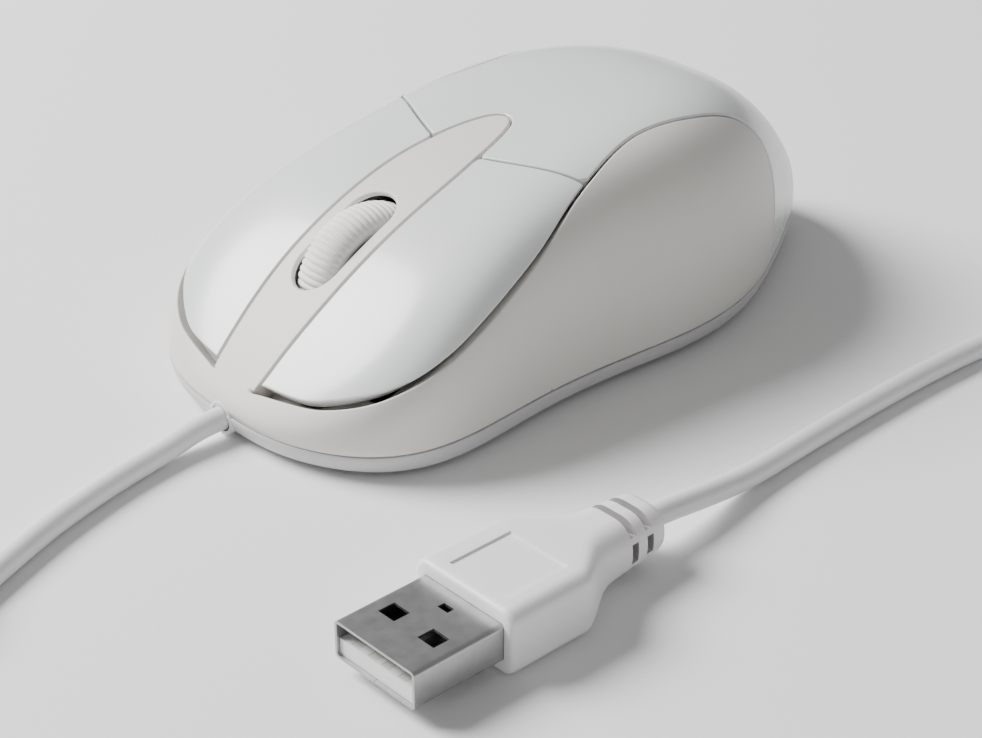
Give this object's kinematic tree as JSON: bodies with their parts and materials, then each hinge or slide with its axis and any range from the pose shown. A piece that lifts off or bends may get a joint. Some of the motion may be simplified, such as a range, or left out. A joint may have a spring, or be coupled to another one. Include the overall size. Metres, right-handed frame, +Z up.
{
  "type": "computer mouse",
  "caption": "Compact wired optical mouse with two pearl keys, a ribbed scroll wheel in a central spine, a thin cord with a stored coil, and a USB plug.",
  "frame": {"origin": "on the floor, under the middle of the mouse body's bounding box, without the cord and plug", "axes": "+Z up, +Y from nose to tail, +X toward the left key, on the left of a user who holds the mouse with its nose ahead"},
  "size_m": [0.1277, 0.1732, 0.029],
  "materials": {
    "ivory_plastic": "fine satin texture",
    "pearl_plastic": "smooth pearl sheen",
    "base_plastic": "fine satin",
    "glide_plastic": "smooth low-friction pad",
    "label_film": "blank film",
    "steel": "zinc plated",
    "wheel_rubber": "soft ribbed",
    "wheel_plastic": "moulded",
    "dark_plastic": "moulded",
    "red_plastic": "moulded",
    "clear_plastic": "clear moulded",
    "red_clear": "tinted clear",
    "board_laminate": "lacquered laminate",
    "header_plastic": "moulded",
    "wire_sheath": "thin vinyl sheath",
    "sleeve_film": "printed-free sleeve",
    "amber_ceramic": "dipped ceramic",
    "cord_vinyl": "soft vinyl",
    "plug_vinyl": "soft satin moulding",
    "plug_steel": "bright nickel plated",
    "tongue_plastic": "moulded",
    "contact_brass": "bright plated"
  },
  "bodies": {
    "chassis": {"upper_shell": "ivory_plastic", "palm_cover": "pearl_plastic", "bottom_shell": "base_plastic", "front_glide_foot": "glide_plastic", "rear_glide_foot": "glide_plastic", "rating_label": "label_film", "case_screw": "steel", "cradle_pin": "steel", "cradle_spring": "steel", "wheel_emitter": "clear_plastic", "wheel_detector": "dark_plastic", "left_switch_body": "dark_plastic", "right_switch_body": "dark_plastic", "middle_switch_body": "dark_plastic", "circuit_board": "board_laminate", "board_screws": "steel", "sensor_chip": "dark_plastic", "sensor_lens": "clear_plastic", "sensor_led": "red_clear", "led_clip": "dark_plastic", "wire_header": "header_plastic", "inner_wires": "wire_sheath", "capacitor": "sleeve_film", "resonator": "amber_ceramic", "chip_resistors": "dark_plastic", "cord_gland": "cord_vinyl", "cord_front_run": "cord_vinyl", "cord_coil": "cord_vinyl", "cord_rear_run": "cord_vinyl", "plug_overmould": "plug_vinyl", "plug_shell": "plug_steel", "plug_tongue": "tongue_plastic", "plug_contacts": "contact_brass"},
    "left_key": {"left_button": "pearl_plastic"},
    "right_key": {"right_button": "pearl_plastic"},
    "left_plunger": {"left_switch_plunger": "red_plastic"},
    "right_plunger": {"right_switch_plunger": "red_plastic"},
    "cradle": {"wheel_cradle": "dark_plastic"},
    "wheel": {"scroll_tyre": "wheel_rubber", "scroll_hub": "wheel_plastic"},
    "middle_plunger": {"middle_switch_plunger": "dark_plastic"}
  },
  "joints": [
    {"name": "left_click", "type": "hinge", "parent": "chassis", "child": "left_key", "pos_m": [0.012, -0.009, 0.0256], "axis": [1, 0, 0], "range_deg": [0, 1], "stiffness_Nm_per_rad": 0.8, "springref_deg": -0.29},
    {"name": "right_click", "type": "hinge", "parent": "chassis", "child": "right_key", "pos_m": [-0.012, -0.009, 0.0256], "axis": [1, 0, 0], "range_deg": [0, 1], "stiffness_Nm_per_rad": 0.8, "springref_deg": -0.29},
    {"name": "left_plunger_slide", "type": "slide", "parent": "chassis", "child": "left_plunger", "axis": [0, 0, -1], "range_m": [0, 0.0005]},
    {"name": "right_plunger_slide", "type": "slide", "parent": "chassis", "child": "right_plunger", "axis": [0, 0, -1], "range_m": [0, 0.0005]},
    {"name": "middle_click", "type": "hinge", "parent": "chassis", "child": "cradle", "pos_m": [0, -0.0095, 0.009], "axis": [1, 0, 0], "range_deg": [0, 1.6], "stiffness_Nm_per_rad": 0.4, "springref_deg": -0.57, "deforming": ["cradle_spring"]},
    {"name": "middle_plunger_slide", "type": "slide", "parent": "chassis", "child": "middle_plunger", "axis": [0, 0, -1], "range_m": [0, 0.0005]},
    {"name": "wheel_spin", "type": "hinge", "parent": "cradle", "child": "wheel", "pos_m": [0, -0.0239, 0.013], "axis": [1, 0, 0], "continuous": true}
  ],
  "couplings": [
    {"joint": "left_plunger_slide", "follows": "left_click", "m_per_rad": 0.019},
    {"joint": "right_plunger_slide", "follows": "right_click", "m_per_rad": 0.019},
    {"joint": "middle_plunger_slide", "follows": "middle_click", "m_per_rad": 0.011}
  ]
}
